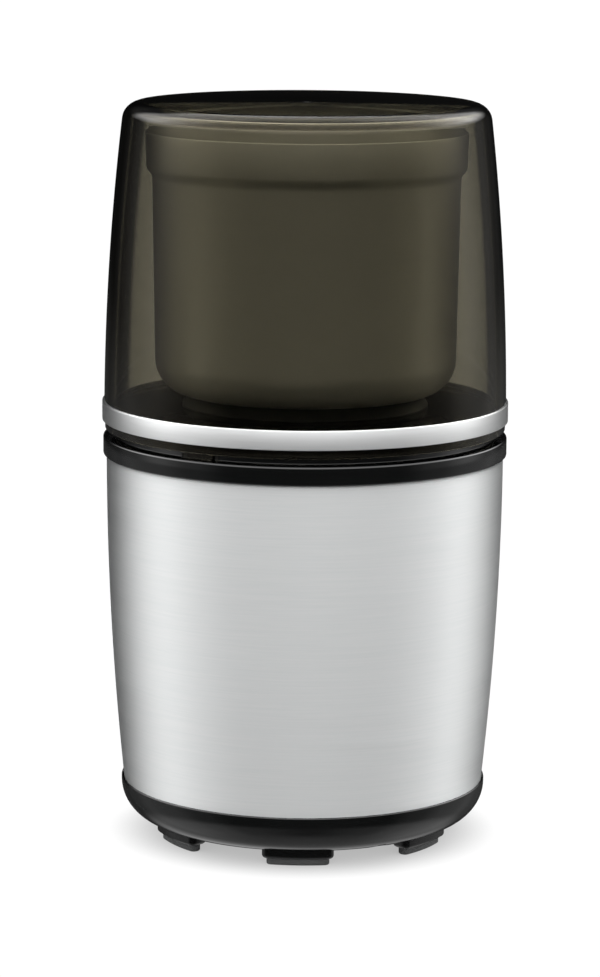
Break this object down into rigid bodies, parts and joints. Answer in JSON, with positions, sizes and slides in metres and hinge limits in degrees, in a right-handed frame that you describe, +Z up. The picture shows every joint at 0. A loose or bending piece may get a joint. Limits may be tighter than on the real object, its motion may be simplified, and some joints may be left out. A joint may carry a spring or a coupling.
{
  "type": "electric spice grinder",
  "caption": "Upright electric spice grinder: push-down smoked lid with silver band, lift-out steel bowl with spinning blade, black collar, brushed steel sleeve and footed base dish.",
  "frame": {"origin": "on the table, under the centre of the grinder", "axes": "+Z up along the motor axis, -Y towards the front, +X to the right seen from the front"},
  "size_m": [0.109, 0.109, 0.198],
  "materials": {
    "smoked_clear": "polished, smoked olive-brown, see-through",
    "silver_trim": "satin silver",
    "bowl_steel": "deep-drawn, softly brushed",
    "sleeve_steel": "brushed round the body",
    "blade_steel": "stamped and ground",
    "ground_steel": "ground or plated",
    "black_moulding": "moulded satin black",
    "rubber": "moulded dark grey",
    "turned_alloy": "cast or turned",
    "bronze": "sintered",
    "copper": "enamelled copper",
    "laminations": "stacked sheet steel",
    "carbon": "pressed carbon",
    "nylon": "moulded off-white",
    "red_moulding": "moulded red",
    "brown_moulding": "moulded phenolic",
    "lead_cover": "extruded insulation"
  },
  "bodies": {
    "base": {"top_housing": "black_moulding", "support_pillars": "turned_alloy", "motor_posts": "turned_alloy", "steel_sleeve": "sleeve_steel", "base_dish": "black_moulding", "foot_pads": "rubber", "base_screws": "ground_steel", "cord_gland": "rubber", "plunger_springs": "ground_steel", "start_switches": "black_moulding", "switch_screws": "ground_steel", "upper_bracket": "turned_alloy", "lower_bracket": "turned_alloy", "stator_core": "laminations", "field_coils": "copper", "motor_bolts": "ground_steel", "bolt_nuts": "ground_steel", "motor_isolators": "rubber", "isolator_screws": "ground_steel", "motor_bearings": "bronze", "brush_holders": "brown_moulding", "brush_springs": "ground_steel", "carbon_brushes": "carbon", "thermal_cutout": "nylon", "terminal_block": "nylon", "internal_leads": "lead_cover"},
    "plungers": {"start_plungers": "nylon", "switch_buttons": "red_moulding"},
    "lid": {"lid_shell": "smoked_clear", "lid_band": "silver_trim"},
    "bowl": {"grinding_bowl": "bowl_steel", "bowl_foot": "black_moulding", "bearing_housing": "turned_alloy", "bowl_bush": "bronze", "shaft_seal": "rubber"},
    "blades": {"blade_shaft": "ground_steel", "blade": "blade_steel", "blade_washer": "ground_steel", "blade_nut": "ground_steel", "drive_dog": "black_moulding"},
    "rotor": {"motor_shaft": "ground_steel", "armature_core": "laminations", "armature_windings": "copper", "commutator": "copper", "cooling_fan": "nylon", "drive_coupling": "black_moulding"}
  },
  "joints": [
    {"name": "start_press", "type": "slide", "parent": "base", "child": "plungers", "axis": [0, 0, 1], "range_m": [-0.0015, 0], "stiffness_N_per_m": 900, "springref_m": 0.004, "deforming": ["plunger_springs"]},
    {"name": "lid_lift", "type": "slide", "parent": "plungers", "child": "lid", "axis": [0, 0, 1], "range_m": [0, 0.18]},
    {"name": "bowl_lift", "type": "slide", "parent": "base", "child": "bowl", "axis": [0, 0, 1], "range_m": [0, 0.09]},
    {"name": "rotor_spin", "type": "hinge", "parent": "base", "child": "rotor", "pos_m": [0, 0, 0.07], "axis": [0, 0, 1], "continuous": true},
    {"name": "blade_spin", "type": "hinge", "parent": "bowl", "child": "blades", "pos_m": [0, 0, 0.12], "axis": [0, 0, 1], "continuous": true}
  ],
  "couplings": [
    {"joint": "bowl_lift", "follows": "lid_lift", "ratio": 0.5},
    {"joint": "blade_spin", "follows": "rotor_spin", "ratio": 1}
  ]
}
